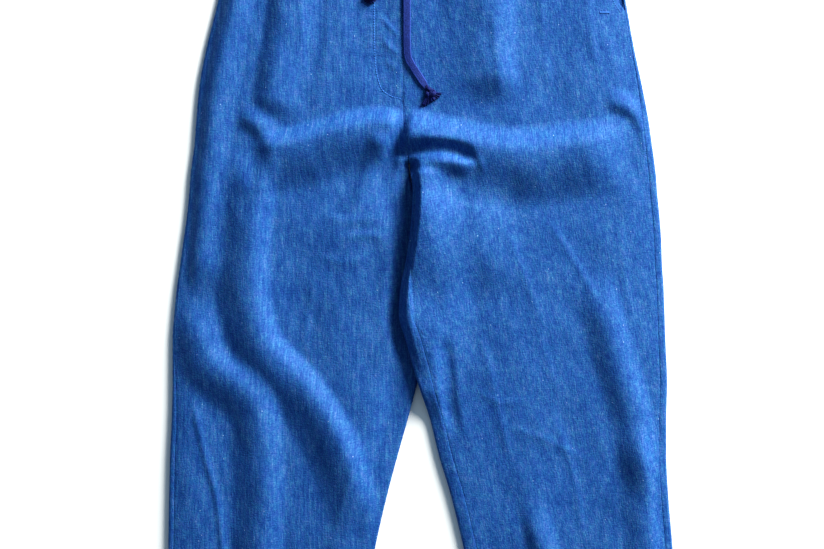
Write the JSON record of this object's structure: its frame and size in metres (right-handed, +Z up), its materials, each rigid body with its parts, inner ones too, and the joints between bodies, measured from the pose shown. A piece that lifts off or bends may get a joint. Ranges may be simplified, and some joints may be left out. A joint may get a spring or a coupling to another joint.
{
  "type": "drawstring trousers laid flat",
  "caption": "Chambray drawstring trousers lying flat, front up, with one inner thigh over the other, open waist and hems, and a tied flat tape.",
  "frame": {"origin": "on the resting surface, under the middle of the garment's box", "axes": "+X to the wearer's left, +Y to the waist, +Z up from the resting surface"},
  "size_m": [0.61, 1.034, 0.0359],
  "materials": {
    "cloth": "slubby blue chambray, plain weave",
    "tape": "flat woven cotton tape, violet blue"
  },
  "bodies": {
    "root": {"front_right": "cloth", "front_left": "cloth", "back_right": "cloth", "back_left": "cloth", "waistband_front": "cloth", "waistband_back": "cloth", "pocket_facing_left": "cloth", "drawstring_tie": "tape", "drawstring_tail_right": "tape", "drawstring_tail_left": "tape", "drawstring_knot_right": "tape", "drawstring_knot_left": "tape"}
  },
  "joints": []
}
